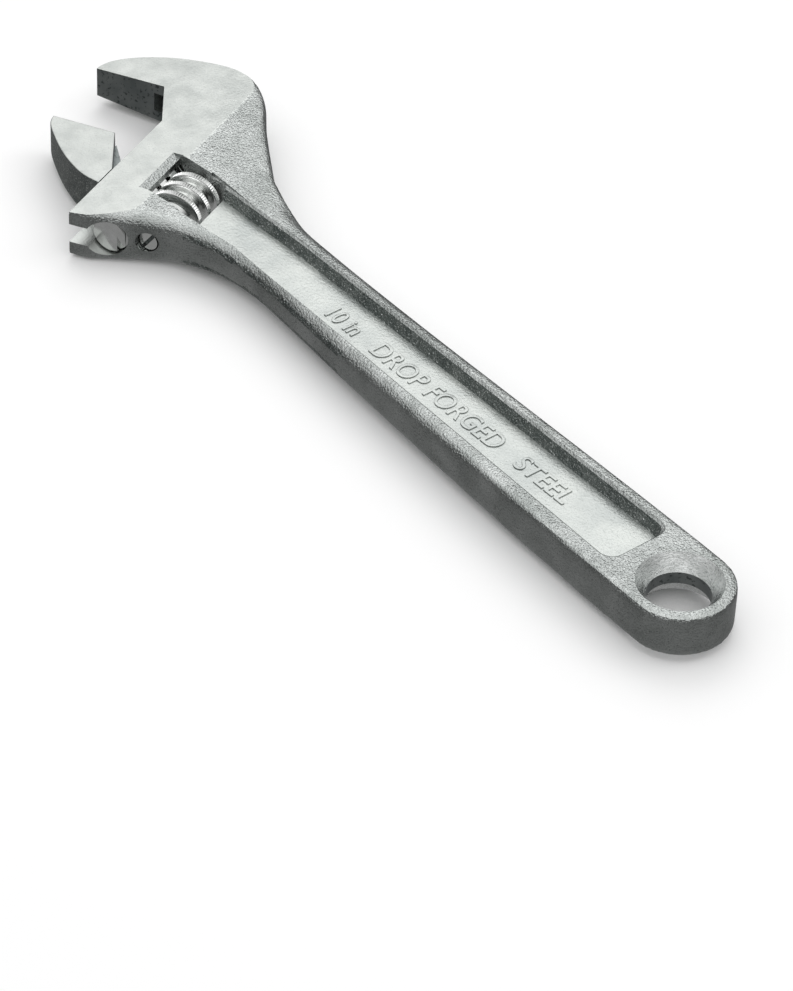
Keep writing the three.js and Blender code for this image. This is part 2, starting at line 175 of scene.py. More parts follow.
# Wrench forging: a rounded blank is forged, then its faces are ground and its openings are cut.
forgingSet = {
    "handleHalf": 5.6,
    "endRadius": 13,
    "roundAtEnd": 0.7,
    "roundAtNeck": 4.2,
    "roundAtHead": 3.6,
    "roundAtJaw": 1.2,
    "roundFar": 1.6,     # the side away from the slide end
    "grain": 0.7,        # voxel size of the blank
    "softening": 6,      # smoothing passes over the blank
    "ridgeHalf": 7.3,
    "ridgeP": -14,
    "thickP": -8,        # the blank keeps thickening to here, for the grinding to take off
    "tipHalf": 4.2,
    "tipP": 27.5,
    "neckHalf": 5.2,
    "neckP": -42,
}


def groundHalf(p):
    s = forgingSet
    return s["tipHalf"] + (s["ridgeHalf"] - s["tipHalf"]) * (s["tipP"] - p) / (s["tipP"] - s["ridgeP"])


def forgedHalf(p):
    s = forgingSet
    slope = (s["ridgeHalf"] - s["neckHalf"]) / (s["ridgeP"] - s["neckP"])
    return s["ridgeHalf"] + slope * (min(p, s["thickP"]) - s["ridgeP"])


def blend(low, high, share):
    share = min(max(share, 0), 1)
    return low + (high - low) * share * share * (3 - 2 * share)


def roundEdges(piece, largest, radiusAt):
    # Bevels the upper and lower outline edges, with a radius that changes along the outline.
    mesh = piece.data
    weights = mesh.attributes.new("bevel_weight_edge", "FLOAT", "EDGE")
    for edge in mesh.edges:
        a, b = (mesh.vertices[i].co for i in edge.vertices)
        if abs(a.z - b.z) < 0.5 * mm and abs(a.z - headCorner.z) > 2 * mm:
            weights.data[edge.index].value = radiusAt((a + b) / 2) / largest
    bevel = piece.modifiers.new("roundEdges", "BEVEL")
    bevel.limit_method = "WEIGHT"
    bevel.width = largest * mm
    bevel.segments = 5
    bevel.use_clamp_overlap = False
    applyModifiers(piece)


def forgeBlank():
    s = forgingSet
    mid = headCorner.z
    jawBack = smoothCurve([headPoint(p, q) for p, q in (
        (27.5, 1.6), (25.4, 5.2), (20, 9.4), (10.5, 13.3), (-1, 15.1), (-8, 14.3),
        (-13.3, 11.8), (-19, 5.8), (-25.1, -4.3), (-36.2, -20.1))], 5)
    handleTop = smoothCurve([headPoint(-36.2, -20.1)] + [handlePoint(x, y) for x, y in (
        (-161, 16.2), (-148, 14.6), (-100, 13.7), (-50, 13.3), (0, 13))], 6)
    handleEnd = [handlePoint(s["endRadius"] * math.sin(a), s["endRadius"] * math.cos(a))
                 for a in (math.pi * i / 36 for i in range(1, 36))]
    handleLow = smoothCurve([handlePoint(x, y) for x, y in (
        (0, -13), (-50, -11.6), (-105, -9.2), (-131, -7.5), (-148, -6.6), (-161, -7.9),
        (-172.7, -12.4))], 6)
    headEnd = smoothCurve([handlePoint(-172.7, -12.4), headPoint(-16.3, -53.6),
                           headPoint(-5.4, -58.3)], 5)
    headPoints = ([headPoint(3, -59.3), headPoint(3, -16), headPoint(10, -3), headPoint(27.8, -3)]
                  + jawBack[:-1] + handleTop[:13] + handleLow[-13:-1] + headEnd
                  + [headPoint(-2, -58.9)])
    headBlank = outlinePlate("headBlank", headPoints,
                             mid - s["ridgeHalf"] * mm, mid + s["ridgeHalf"] * mm)
    roundEdges(headBlank, s["roundAtHead"], lambda place: min(
        blend(s["roundAtHead"], s["roundAtJaw"], (headPQ(place)[0] + 12) / 14),
        blend(s["roundAtHead"], s["roundFar"], (headPQ(place)[1] + 45) / 25)))
    makeActive(headBlank)
    bpy.ops.object.mode_set(mode="EDIT")
    bpy.ops.mesh.select_all(action="SELECT")
    bpy.ops.mesh.bisect(plane_co=headPoint(s["thickP"], 0), plane_no=alongP)
    bpy.ops.object.mode_set(mode="OBJECT")
    for vertex in headBlank.data.vertices:
        share = forgedHalf(headPQ(vertex.co)[0]) / s["ridgeHalf"]
        vertex.co.z = mid + (vertex.co.z - mid) * share
    handlePoints = [headPoint(-22, -44), headPoint(-24, -12)] + handleTop[:-1] + handleEnd + handleLow
    handleBlank = outlinePlate("handleBlank", handlePoints,
                               mid - s["handleHalf"] * mm, mid + s["handleHalf"] * mm)
    roundEdges(handleBlank, s["roundAtNeck"], lambda place: blend(
        s["roundAtNeck"], s["roundAtEnd"], ((place - holeCentre).x / mm + 140) / 125))
    clearSelection()
    headBlank.select_set(True)
    handleBlank.select_set(True)
    bpy.context.view_layer.objects.active = handleBlank
    bpy.ops.object.join()
    blank = bpy.context.object
    blank.name = "wrench_forging"
    remesh = blank.modifiers.new("forge", "REMESH")
    remesh.mode = "VOXEL"
    remesh.voxel_size = s["grain"] * mm
    soften = blank.modifiers.new("soften", "SMOOTH")
    soften.factor = 0.5
    soften.iterations = s["softening"]
    applyModifiers(blank)
    print("blank forged", len(blank.data.polygons), "faces")
    return blank


def grindFaces(blank):
    # Both wide faces of the head are ground to planes that draw together towards the tips.
    makeActive(blank)
    bpy.ops.object.mode_set(mode="EDIT")
    slope = groundHalf(0) - groundHalf(1)
    for side in (1, -1):
        bpy.ops.mesh.select_all(action="SELECT")
        bpy.ops.mesh.bisect(
            plane_co=headPoint(0, 0, side * groundHalf(0)),
            plane_no=(alongP * slope + upward * side).normalized(),
            use_fill=True, clear_outer=True, threshold=0.0001 * mm)
    bpy.ops.mesh.select_all(action="SELECT")
    bpy.ops.mesh.bisect(plane_co=headPoint(forgingSet["ridgeP"], 0), plane_no=alongP)
    bpy.ops.object.mode_set(mode="OBJECT")


windowSet = {"slideP": -11.9, "panelP": -27.3, "topQ": -25.2, "bottomQ": -42.1, "lean": 3.5}


def windowEnd(p, q):
    w = windowSet
    return q - w["lean"] * (w["slideP"] - p) / (w["slideP"] - w["panelP"])


def alongHead(pairs):
    return [headPoint(p, q) for p, q in pairs]


panelSet = {
    "depth": 3.6,
    "draft": 1,          # how far each wall leans in from rim to floor
    "rimDrop": 0.55,     # the rim is eased over this height and width
    "rimWidth": 0.55,
    "corner": 3.5,
    "endX": -15,         # end beside the hang hole, and the two long sides
    "lowY": -7.7,
    "highY": 9.8,
    "neckX": -148,       # the long sides bend here
    "neckP": -29.8,
    "intoWindow": 5,     # the panel runs this far into the knurl window
}
floorHalf = forgingSet["handleHalf"] - panelSet["depth"]


def panelOutline(inset):
    k = panelSet
    corner = k["corner"]
    inWindow = windowSet["panelP"] + k["intoWindow"]
    lowP = k["neckP"]
    points = [headPoint(inWindow, windowEnd(inWindow, windowSet["topQ"]) - inset),
              headPoint(inWindow, windowEnd(inWindow, windowSet["bottomQ"]) + inset),
              headPoint(lowP, windowEnd(lowP, windowSet["bottomQ"]) + inset),
              handlePoint(-159, -4.7 + inset), handlePoint(k["neckX"], -4.9 + inset)]
    endX, lowY, highY = k["endX"] - inset, k["lowY"] + inset, k["highY"] - inset
    for centreY, start in ((lowY + corner, -math.pi / 2), (highY - corner, 0)):
        for i in range(7):
            angle = start + math.pi / 2 * i / 6
            points.append(handlePoint(endX - corner + corner * math.cos(angle),
                                      centreY + corner * math.sin(angle)))
    points.append(handlePoint(k["neckX"], 9.4 - inset))
    return points


def panelCutter(side):
    # Cuts a sunk panel with sloping walls and an eased rim: narrow at its foot, flared at its mouth.
    k = panelSet
    face = handlePoint(0, 0, side * forgingSet["handleHalf"]).z
    levels = [(-k["depth"], k["draft"]), (-k["rimDrop"], 0.1), (0, -k["rimWidth"]), (3, -k["rimWidth"])]
    (lowest, lowInset), (second, _) = levels[0], levels[1]
    cutter = outlinePlate("panelCutter", panelOutline(lowInset), face + side * lowest * mm,
                          face + side * second * mm)
    foot = panelOutline(lowInset)
    for upper, lower in ((2, 1), (3, 2)):
        fromZ, toZ = (face + side * levels[i][0] * mm for i in (lower, upper))
        pickParts(cutter, "FACE", cutter.data.polygons, lambda polygon: (
            polygon.normal.z * side > 0.9 and abs(polygon.center.z - fromZ) < 0.01 * mm))
        bpy.ops.mesh.extrude_region_move(TRANSFORM_OT_translate={"value": (0, 0, toZ - fromZ)})
        bpy.ops.object.mode_set(mode="OBJECT")
    for vertex in cutter.data.vertices:
        level = min(range(4), key=lambda i: abs(vertex.co.z - face - side * levels[i][0] * mm))
        corner = min(range(len(foot)), key=lambda i: (vertex.co.xy - foot[i].xy).length)
        point = panelOutline(levels[level][1])[corner]
        vertex.co.x, vertex.co.y = point.x, point.y
    agreeNormals(cutter)
    return cutter


def sectionAlongQ(name, pairs, fromQ, toQ):
    # Prism along q whose section is given as p and z pairs.
    points = [(p * mm, z * mm) for p, z in pairs]
    piece = outlinePlate(name, points, fromQ * mm, toQ * mm)
    for vertex in piece.data.vertices:
        p, z, q = vertex.co / mm
        vertex.co = headPoint(p, q, z)
    agreeNormals(piece)
    return piece


def headPlate(name, pairs, half):
    return outlinePlate(name, alongHead(pairs), headCorner.z - half * mm, headCorner.z + half * mm)


openingSet = {
    "slideQ": -8.4,      # where the slot and the slide end start along q
    "slotHalf": 2.65,
    "slotTopP": 10.5,
    "boreP": -9.1,
    "boreRadius": 5.05,
    "boreTopQ": -1.3,
    "pinP": -18.5,
    "pinRadius": 2.3,
    "pinTopQ": -16.9,
    "pinMouthRadius": 2.8,
    "pinMouthTopQ": -46.3,
    "pastQ": -70,        # outside the slide end
    "holeRadius": 7.5,
    "sinkRadius": 10.2,  # at the handle's face
    "sinkDepth": 4,
    "cutterHalf": 12,
}


def cutOpenings(blank):
    w, o = windowSet, openingSet
    high = o["cutterHalf"]
    mouth = headPlate("mouth", ((0, -75), (0, -13.9), (7.5, 0), (45, 0), (45, -75)), high)
    window = headPlate("window", (
        (w["slideP"], w["topQ"]), (w["panelP"], windowEnd(w["panelP"], w["topQ"])),
        (w["panelP"], windowEnd(w["panelP"], w["bottomQ"])), (w["slideP"], w["bottomQ"])), high)
    slot = headPlate("slot", (
        (o["slotTopP"], 3.45), (0.2, o["slideQ"]), (o["boreP"], o["slideQ"]),
        (o["boreP"], o["pastQ"]), (o["slotTopP"], o["pastQ"])), o["slotHalf"])
    bore = roundRod("bore", o["boreRadius"] * mm, headPoint(o["boreP"], o["pastQ"] - 5),
                    headPoint(o["boreP"], o["boreTopQ"]))
    pinStart = headPoint(o["pinP"], o["pastQ"])
    pinShank = roundRod("pinShank", o["pinRadius"] * mm, pinStart,
                        headPoint(o["pinP"], o["pinTopQ"]), 32)
    pinMouth = roundRod("pinMouth", o["pinMouthRadius"] * mm, pinStart,
                        headPoint(o["pinP"], o["pinMouthTopQ"]), 32)
    cutters = [mouth, window, slot, bore, pinShank, pinMouth]
    outP, inP = w["slideP"] + 2, w["slideP"] - 1
    face = groundHalf(outP)
    rim = forgingSet["handleHalf"]
    past = 1  # the countersink's cutter goes on this far outside the face
    widest = o["sinkRadius"] + past * (o["sinkRadius"] - o["holeRadius"]) / o["sinkDepth"]
    for side in (1, -1):
        cutters.append(sectionAlongQ("windowBevel", (
            (outP, side * face), (inP, side * (face - 1.5)),
            (inP, side * (face + 4)), (outP, side * (face + 4))), w["bottomQ"], w["topQ"]))
        cutters.append(panelCutter(side))
        cutters.append(roundRod(
            "sink", o["holeRadius"] * mm, handlePoint(0, 0, side * (rim - o["sinkDepth"])),
            handlePoint(0, 0, side * (rim + past)), 96, widest * mm))
    cutters.append(roundRod("hangHole", o["holeRadius"] * mm, handlePoint(0, 0, -9),
                            handlePoint(0, 0, 9), 96))
    cutAway(blank, cutters)
    print("openings cut", len(blank.data.polygons), "faces")


def shadeByShape(piece, angle):
    # Smooth by angle, with every wide flat face keeping its own plane.
    makeActive(piece)
    bpy.ops.object.shade_smooth_by_angle(angle=math.radians(angle))
    weigh = piece.modifiers.new("weigh", "WEIGHTED_NORMAL")
    weigh.keep_sharp = True
    applyModifiers(piece)


def coatPiece(piece, finishes, choose):
    # finishes is a list of materials, and choose(face) gives the index of one.
    piece.data.materials.clear()
    for finish in finishes:
        piece.data.materials.append(finish)
    for face in piece.data.polygons:
        face.material_index = choose(face)


# Finishes
def newFinish(name):
    material = bpy.data.materials.new(name)
    material.use_nodes = True
    return material, material.node_tree.nodes, material.node_tree.links


def steelFinish(name, looks):
    # Plated steel: fine grain and pits as bump, cloudy changes of tone and gloss.
    material, nodes, links = newFinish(name)
    shader = nodes["Principled BSDF"]
    shader.inputs["Metallic"].default_value = 1
    place = nodes.new("ShaderNodeTexCoord")
    stretch = nodes.new("ShaderNodeMapping")
    stretch.inputs["Scale"].default_value = looks.get("stretch", (1, 1, 1))
    links.new(place.outputs["Object"], stretch.inputs["Vector"])

    cloud = nodes.new("ShaderNodeTexNoise")
    cloud.inputs["Scale"].default_value = looks["cloudScale"]
    cloud.inputs["Detail"].default_value = 5
    links.new(place.outputs["Object"], cloud.inputs["Vector"])
    tone = nodes.new("ShaderNodeValToRGB")
    tone.color_ramp.elements[0].position = 0.35
    tone.color_ramp.elements[1].position = 0.68
    tone.color_ramp.elements[0].color = (*looks["darkTone"], 1)
    tone.color_ramp.elements[1].color = (*looks["lightTone"], 1)
    links.new(cloud.outputs["Fac"], tone.inputs["Fac"])

    speck = nodes.new("ShaderNodeTexNoise")
    speck.inputs["Scale"].default_value = looks["grainScale"] * 1.7
    speck.inputs["Detail"].default_value = 2
    links.new(stretch.outputs["Vector"], speck.inputs["Vector"])
    speckMask = nodes.new("ShaderNodeMapRange")
    speckMask.inputs["From Min"].default_value = looks["speckFrom"]
    speckMask.inputs["From Max"].default_value = looks["speckFrom"] + 0.1
    speckMask.inputs["To Max"].default_value = looks["speckShare"]
    links.new(speck.outputs["Fac"], speckMask.inputs["Value"])
    tint = nodes.new("ShaderNodeMix")
    tint.data_type = "RGBA"
    tint.inputs["B"].default_value = (*looks["speckTone"], 1)
    links.new(speckMask.outputs["Result"], tint.inputs["Factor"])
    links.new(tone.outputs["Color"], tint.inputs["A"])
    links.new(tint.outputs["Result"], shader.inputs["Base Color"])

    gloss = nodes.new("ShaderNodeMapRange")
    gloss.inputs["From Min"].default_value = 0.3
    gloss.inputs["From Max"].default_value = 0.7
    gloss.inputs["To Min"].default_value = looks["roughness"][0]
    gloss.inputs["To Max"].default_value = looks["roughness"][1]
    links.new(cloud.outputs["Fac"], gloss.inputs["Value"])
    links.new(gloss.outputs["Result"], shader.inputs["Roughness"])

    if looks.get("pebbled"):
        grain = nodes.new("ShaderNodeTexVoronoi")
        grain.feature = "SMOOTH_F1"
        grain.inputs["Smoothness"].default_value = 0.6
        grain.inputs["Randomness"].default_value = 1
        bumpSource = "Distance"
    else:
        grain = nodes.new("ShaderNodeTexNoise")
        grain.inputs["Roughness"].default_value = 0.6
        bumpSource = "Fac"
    grain.inputs["Scale"].default_value = looks["grainScale"]
    grain.inputs["Detail"].default_value = looks.get("grainDetail", 3)
    links.new(stretch.outputs["Vector"], grain.inputs["Vector"])
    relief = nodes.new("ShaderNodeBump")
    relief.inputs["Strength"].default_value = looks["relief"]
    relief.inputs["Distance"].default_value = looks["reliefDepth"] * mm
    links.new(grain.outputs[bumpSource], relief.inputs["Height"])
    relief.invert = bumpSource == "Distance"
    swell = nodes.new("ShaderNodeBump")
    swell.inputs["Strength"].default_value = looks.get("swell", 0.1)
    swell.inputs["Distance"].default_value = 0.5 * mm
    links.new(cloud.outputs["Fac"], swell.inputs["Height"])
    links.new(swell.outputs["Normal"], relief.inputs["Normal"])
    links.new(relief.outputs["Normal"], shader.inputs["Normal"])
    return material


groundSteel = steelFinish("groundSteel", {
    "darkTone": (0.44, 0.46, 0.445), "lightTone": (0.58, 0.60, 0.58), "cloudScale": 170,
    "speckTone": (0.34, 0.36, 0.35), "speckFrom": 0.56, "speckShare": 0.4,
    "roughness": (0.32, 0.42), "grainScale": 1500, "relief": 0.4, "reliefDepth": 0.12,
    "swell": 0.12})
forgedSteel = steelFinish("forgedSteel", {
    "darkTone": (0.33, 0.35, 0.34), "lightTone": (0.50, 0.52, 0.51), "cloudScale": 110,
    "speckTone": (0.12, 0.13, 0.125), "speckFrom": 0.54, "speckShare": 0.5,
    "roughness": (0.24, 0.34), "grainScale": 1900, "relief": 0.7, "reliefDepth": 0.24,
    "grainDetail": 1, "pebbled": True, "swell": 0.25})
panelSteel = steelFinish("panelSteel", {
    "darkTone": (0.36, 0.38, 0.37), "lightTone": (0.52, 0.54, 0.52), "cloudScale": 90,
    "speckTone": (0.30, 0.32, 0.31), "speckFrom": 0.57, "speckShare": 0.4,
    "roughness": (0.30, 0.42), "grainScale": 1300, "relief": 0.5, "reliefDepth": 0.2,
    "swell": 0.4})
# Darker copy of the forged finish, a painted shade for the panel walls and the movable jaw's outer side; its pale
# specks are painted glints.
forgedSteelPaintedShade = steelFinish("forgedSteelPaintedShade", {
    "darkTone": (0.13, 0.15, 0.145), "lightTone": (0.24, 0.26, 0.25), "cloudScale": 260,
    "speckTone": (0.75, 0.77, 0.76), "speckFrom": 0.58, "speckShare": 0.8,
    "roughness": (0.28, 0.42), "grainScale": 1500, "relief": 0.9, "reliefDepth": 0.4,
    "grainDetail": 1, "pebbled": True, "swell": 0.2})
# Machined finish; the movable jaw's web faces also take it as a painted shadow.
jawSteelAndPaintedShade = steelFinish("jawSteelAndPaintedShade", {
    "darkTone": (0.17, 0.19, 0.19), "lightTone": (0.30, 0.32, 0.315), "cloudScale": 150,
    "speckTone": (0.06, 0.07, 0.07), "speckFrom": 0.57, "speckShare": 0.8,
    "roughness": (0.38, 0.5), "grainScale": 600, "relief": 0.2, "reliefDepth": 0.1,
    "swell": 0.15})
brightSteel = steelFinish("brightSteel", {
    "darkTone": (0.72, 0.73, 0.72), "lightTone": (0.88, 0.89, 0.88), "cloudScale": 300,
    "speckTone": (0.5, 0.51, 0.5), "speckFrom": 0.62, "speckShare": 0.4,
    "roughness": (0.12, 0.2), "grainScale": 2500, "relief": 0.08, "reliefDepth": 0.04,
    "swell": 0.06})
sinkSteel = steelFinish("sinkSteel", {
    "darkTone": (0.6, 0.62, 0.61), "lightTone": (0.88, 0.9, 0.89), "cloudScale": 250,
    "speckTone": (0.25, 0.27, 0.26), "speckFrom": 0.55, "speckShare": 0.6,
    "roughness": (0.2, 0.34), "grainScale": 900, "relief": 0.6, "reliefDepth": 0.2,
    "stretch": (1, 1, 3), "swell": 0.3})
springSteel = steelFinish("springSteel", {
    "darkTone": (0.18, 0.19, 0.2), "lightTone": (0.3, 0.31, 0.32), "cloudScale": 500,
    "speckTone": (0.1, 0.1, 0.1), "speckFrom": 0.6, "speckShare": 0.5,
    "roughness": (0.25, 0.38), "grainScale": 2500, "relief": 0.1, "reliefDepth": 0.04})
print("finishes ready")


def forgingFinish(face):
    # 0 ground, 1 forged, 2 panel floor, 3 panel wall (darker forged finish as painted shade), 4 machined, 5
    # countersink
    p, q = headPQ(face.center)
    height = (face.center.z - headCorner.z) / mm
    level = abs(face.normal.z)
    inHandle = (face.center - holeCentre) / mm
    o = openingSet
    if level > 0.99 and abs(abs(height) - groundHalf(p)) < 0.05:
        return 0
    if level > 0.999 and abs(abs(height) - floorHalf) < 0.05 and p < -20:
        return 2
    # The panel's walls stay inside this band of the handle, which is wider at the neck.
    bandHalf = 9.9 if inHandle.x > panelSet["neckX"] - 2 else 13
    inPanel = (p < windowSet["panelP"] - 0.1 and inHandle.x < panelSet["endX"] + 1
               and abs(inHandle.y - 1.2) < bandHalf)
    # Panel walls take the darker forged finish, a painted shade in the sunk panel.
    if inPanel and floorHalf < abs(height) < 6.4 and 0.1 < level < 0.5:
        return 3
    inBore = math.hypot(p - o["boreP"], height) < o["boreRadius"] + 0.05 and p < -0.2
    inSlot = abs(abs(height) - o["slotHalf"]) < 0.03 and level > 0.95
    if inBore or inSlot:
        return 0
    if inHandle.xy.length < o["sinkRadius"] + 0.4 and level < 0.97:
        return 5 if level > 0.3 else 4
    if p > -0.05 and level < 0.01 and face.normal.dot(alongQ) < 0.2 and q < 0.5:
        return 4
    return 1


forging = forgeBlank()
grindFaces(forging)
cutOpenings(forging)
shadeByShape(forging, 28)
coatPiece(forging, [groundSteel, forgedSteel, panelSteel, forgedSteelPaintedShade, jawSteelAndPaintedShade, sinkSteel],
          forgingFinish)
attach(forging, "wrench_body")
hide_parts("handle_and_fixed_jaw")

# Raised marks on the panel floors, in plain letters
markSet = {
    # words, start, length, height
    "lines": [("10 in", -128, 10.5, 5), ("DROP FORGED", -110, 46, 5.6), ("STEEL", -57, 18, 5.2)],
    "rise": 0.2,
    "roundness": 0.08,
    "middleY": 0.9,
}


def raiseMarks(side):
    marks = []
    for words, startX, length, high in markSet["lines"]:
        bpy.ops.object.select_all(action="DESELECT")
        bpy.ops.object.text_add()
        text = bpy.context.object
        text.data.body = words
        text.data.size = high * 1.4
        text.data.extrude = markSet["rise"]
        text.data.bevel_depth = markSet["roundness"]
        text.data.bevel_resolution = 2
        text.data.align_y = "CENTER"
        bpy.ops.object.convert(target="MESH")
        fit = length / text.dimensions.x
        turn = Matrix.Identity(4) if side > 0 else Matrix.Rotation(math.pi, 4, "X")
        shift = Matrix.Translation(handlePoint(startX, markSet["middleY"], side * floorHalf))
        text.data.transform(shift @ turn @ Matrix.Diagonal((fit * mm, mm, mm, 1)))
        marks.append(text)
    clearSelection()
    for text in marks:
        text.select_set(True)
    bpy.context.view_layer.objects.active = marks[0]
    bpy.ops.object.join()
    piece = bpy.context.object
    piece.name = "raised_marks_upper" if side > 0 else "raised_marks_lower"
    bpy.ops.object.mode_set(mode="EDIT")
    bpy.ops.mesh.select_all(action="SELECT")
    bpy.ops.mesh.remove_doubles(threshold=0.001 * mm)
    bpy.ops.object.mode_set(mode="OBJECT")
    shadeByShape(piece, 40)
    coatPiece(piece, [panelSteel], lambda face: 0)
    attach(piece, "wrench_body")


for side in (1, -1):
    raiseMarks(side)
print("marks raised")

# Movable jaw
movableSet = {
    "shift": -23.6,
    "heelQ": -21,
    "webHalf": 2.35,
    "barP": openingSet["boreP"],
    "barRadius": 4.75,
    "barTop": -2,
    "barLength": 29.3,
    "tipP": -13.5,       # the rack teeth are cut flat here
    "pitch": 4.4,
    "gapQ": -31.9,       # one of the tooth gaps
    "gapHalf": 1.05,
    "gapP": -11.2,
    "flank": 0.174,
    "lean": 0.117,
    "edge": 0.22,
}


def toothGap(q):
    # Slab that leans with the knurl's thread. It narrows towards the knurl, where a real gap widens.
    m = movableSet
    outP = m["barP"] - m["barRadius"] - 0.5
    outHalf = m["gapHalf"] + m["flank"] * (outP - m["gapP"] + 0.3)
    slab = headPlate("toothGap", ((m["gapP"], q - m["gapHalf"]), (m["gapP"], q + m["gapHalf"]),
                                  (outP, q + outHalf), (outP, q - outHalf)), 6)
    for vertex in slab.data.vertices:
        vertex.co += alongQ * m["lean"] * (vertex.co.z - headCorner.z)
    return slab


def joinTo(piece, other):
    weld = piece.modifiers.new("weld", "BOOLEAN")
    weld.operation = "UNION"
    weld.solver = "MANIFOLD"
    weld.object = other
    applyModifiers(piece)
    bpy.data.objects.remove(other)


def breakEdges(piece, width, angle):
    ease = piece.modifiers.new("ease", "BEVEL")
    ease.limit_method = "ANGLE"
    ease.angle_limit = math.radians(angle)
    ease.width = width * mm
    ease.segments = 2
    applyModifiers(piece)


def forgeMovableJaw():
    m = movableSet
    shift = m["shift"]
    outer = smoothCurve([headPoint(p, q + shift) for p, q in (
        (26.2, 0), (25.2, -3.1), (21.6, -7.4), (14.6, -13.9), (6.8, -19), (0.3, m["heelQ"]))], 5)
    points = [headPoint(0.3, -14.3 + shift), headPoint(8, shift)] + outer
    high = groundHalf(0) * mm
    piece = outlinePlate("movable_jaw_forging", points, headCorner.z - high, headCorner.z + high)
    for vertex in piece.data.vertices:
        share = groundHalf(headPQ(vertex.co)[0]) / groundHalf(0)
        vertex.co.z = headCorner.z + (vertex.co.z - headCorner.z) * share
    breakEdges(piece, m["edge"], 40)
    web = headPlate("web", [(p, q + shift) for p, q in (
        (7.2, -0.7), (0.2, -9), (m["barP"] + 0.5, -9), (m["barP"] + 0.5, m["heelQ"]),
        (0.8, m["heelQ"]), (8, -12))], m["webHalf"])
    topQ = m["barTop"] + shift
    bottomQ = topQ - m["barLength"]
    bar = roundRod("bar", m["barRadius"] * mm, headPoint(m["barP"], bottomQ),
                   headPoint(m["barP"], topQ), 64)
    breakEdges(bar, 0.35, 60)
    cutters = [headPlate("trim", ((m["tipP"], bottomQ - 2), (m["tipP"] - 4, bottomQ - 2),
                                  (m["tipP"] - 4, topQ + 2), (m["tipP"], topQ + 2)), 7)]
    q = m["gapQ"] - 5 * m["pitch"]
    while q < topQ + m["pitch"] / 2:
        cutters.append(toothGap(q))
        q += m["pitch"]
    cutAway(bar, cutters)
    joinTo(piece, web)
    joinTo(piece, bar)
    piece.name = "movable_jaw_forging"
    shadeByShape(piece, 18)
    return piece


movableJaw = forgeMovableJaw()


def movableFinish(face):
    # 0 ground, 1 outer side in painted shade, 2 machined and the web's painted shadow, 3 bar
    p, q = headPQ(face.center)
    if p < -0.1:
        return 3
    if abs(face.normal.z) > 0.9:
        # Flat faces near the middle are the web's; they take finish 2 as a painted shadow.
        return 0 if abs(face.center.z - headCorner.z) > 3 * mm else 2
    if face.normal.dot(alongQ) > 0.5 or face.normal.dot(alongP) < -0.5:
        return 2
    # The outer side takes the darker forged finish as a painted shade.
    return 1


coatPiece(movableJaw, [groundSteel, forgedSteelPaintedShade, jawSteelAndPaintedShade, brightSteel], movableFinish)
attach(movableJaw, "jaw")
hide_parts("movable_jaw")
print("movable jaw ready")

# Knurl: a round section twisted one turn per pitch, with notched crests
knurlSet = {
    "pitch": 4.4,
    "length": 13.2,
    "radius": 7.0,
    "root": 4.7,
    "crestHalf": 0.6,
    "crestBase": 1.35,
    "crestQ": 3.3,       # crest beside the rack, measured from the knurl's middle
    "sides": 128,
    "layersPerTurn": 128,
    "tooth": 0.34,
    "edge": 0.35,
    "boreRadius": 2.3,
    "pocketRadius": 3.5,  # room for the spring
    "pocketDepth": 6,
}


def threadShape(place):
    # One vertex of the plain cylinder moved onto the thread.
    k = knurlSet
    section = math.atan2(place.y, place.x)
    along = place.z / mm
    off = abs(section / (2 * math.pi) * k["pitch"])
    share = min(max((k["crestBase"] - off) / (k["crestBase"] - k["crestHalf"]), 0), 1)
    radius = k["root"] + (k["radius"] - k["root"]) * math.sin(share * math.pi / 2)
    turns = section / (2 * math.pi) + (along - k["crestQ"]) / k["pitch"]
    if share > 0.9 and round(turns * k["sides"]) % 2:
        radius -= k["tooth"]
    toEnd = k["length"] / 2 - abs(along)
    if toEnd < k["edge"]:
        radius = min(radius, k["radius"] - (k["edge"] - toEnd))
    angle = 2 * math.pi * turns
    return (knurlCentre + alongP * radius * math.cos(angle) * mm
            + upward * radius * math.sin(angle) * mm + alongQ * along * mm)


def splitLengths(piece, cuts):
    # Cuts every lengthwise edge into equal parts.
    places = piece.data.vertices
    pickParts(piece, "EDGE", piece.data.edges, lambda edge: abs(
        places[edge.vertices[0]].co.z - places[edge.vertices[1]].co.z) > 0.001 * mm)
    bpy.ops.mesh.subdivide(number_cuts=cuts)
    bpy.ops.object.mode_set(mode="OBJECT")


def cutKnurl():
    k = knurlSet
    layers = round(k["length"] / k["pitch"] * k["layersPerTurn"])
    bpy.ops.object.select_all(action="DESELECT")
    bpy.ops.mesh.primitive_cylinder_add(vertices=k["sides"], radius=k["radius"] * mm,
                                        depth=k["length"] * mm, end_fill_type="NGON")
    piece = bpy.context.object
    piece.name = "thumb_knurl"
    splitLengths(piece, 3)
    splitLengths(piece, layers // 4 - 1)
    for vertex in piece.data.vertices:
        vertex.co = threadShape(vertex.co)
    agreeNormals(piece)
    split = piece.modifiers.new("split", "TRIANGULATE")
    split.quad_method = "SHORTEST_DIAGONAL"
    applyModifiers(piece)
    half = alongQ * k["length"] / 2 * mm
    outside = half * 1.2
    through = roundRod("through", k["boreRadius"] * mm, knurlCentre - outside,
                       knurlCentre + outside, 32)
    pocket = roundRod("pocket", k["pocketRadius"] * mm,
                      knurlCentre + half - alongQ * k["pocketDepth"] * mm, knurlCentre + outside, 32)
    cutAway(piece, [through, pocket])
    shadeByShape(piece, 26)
    return piece


knurl = cutKnurl()
coatPiece(knurl, [brightSteel], lambda face: 0)
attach(knurl, "knurl_wheel")
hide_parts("knurl")
print("knurl cut", len(knurl.data.polygons), "faces")

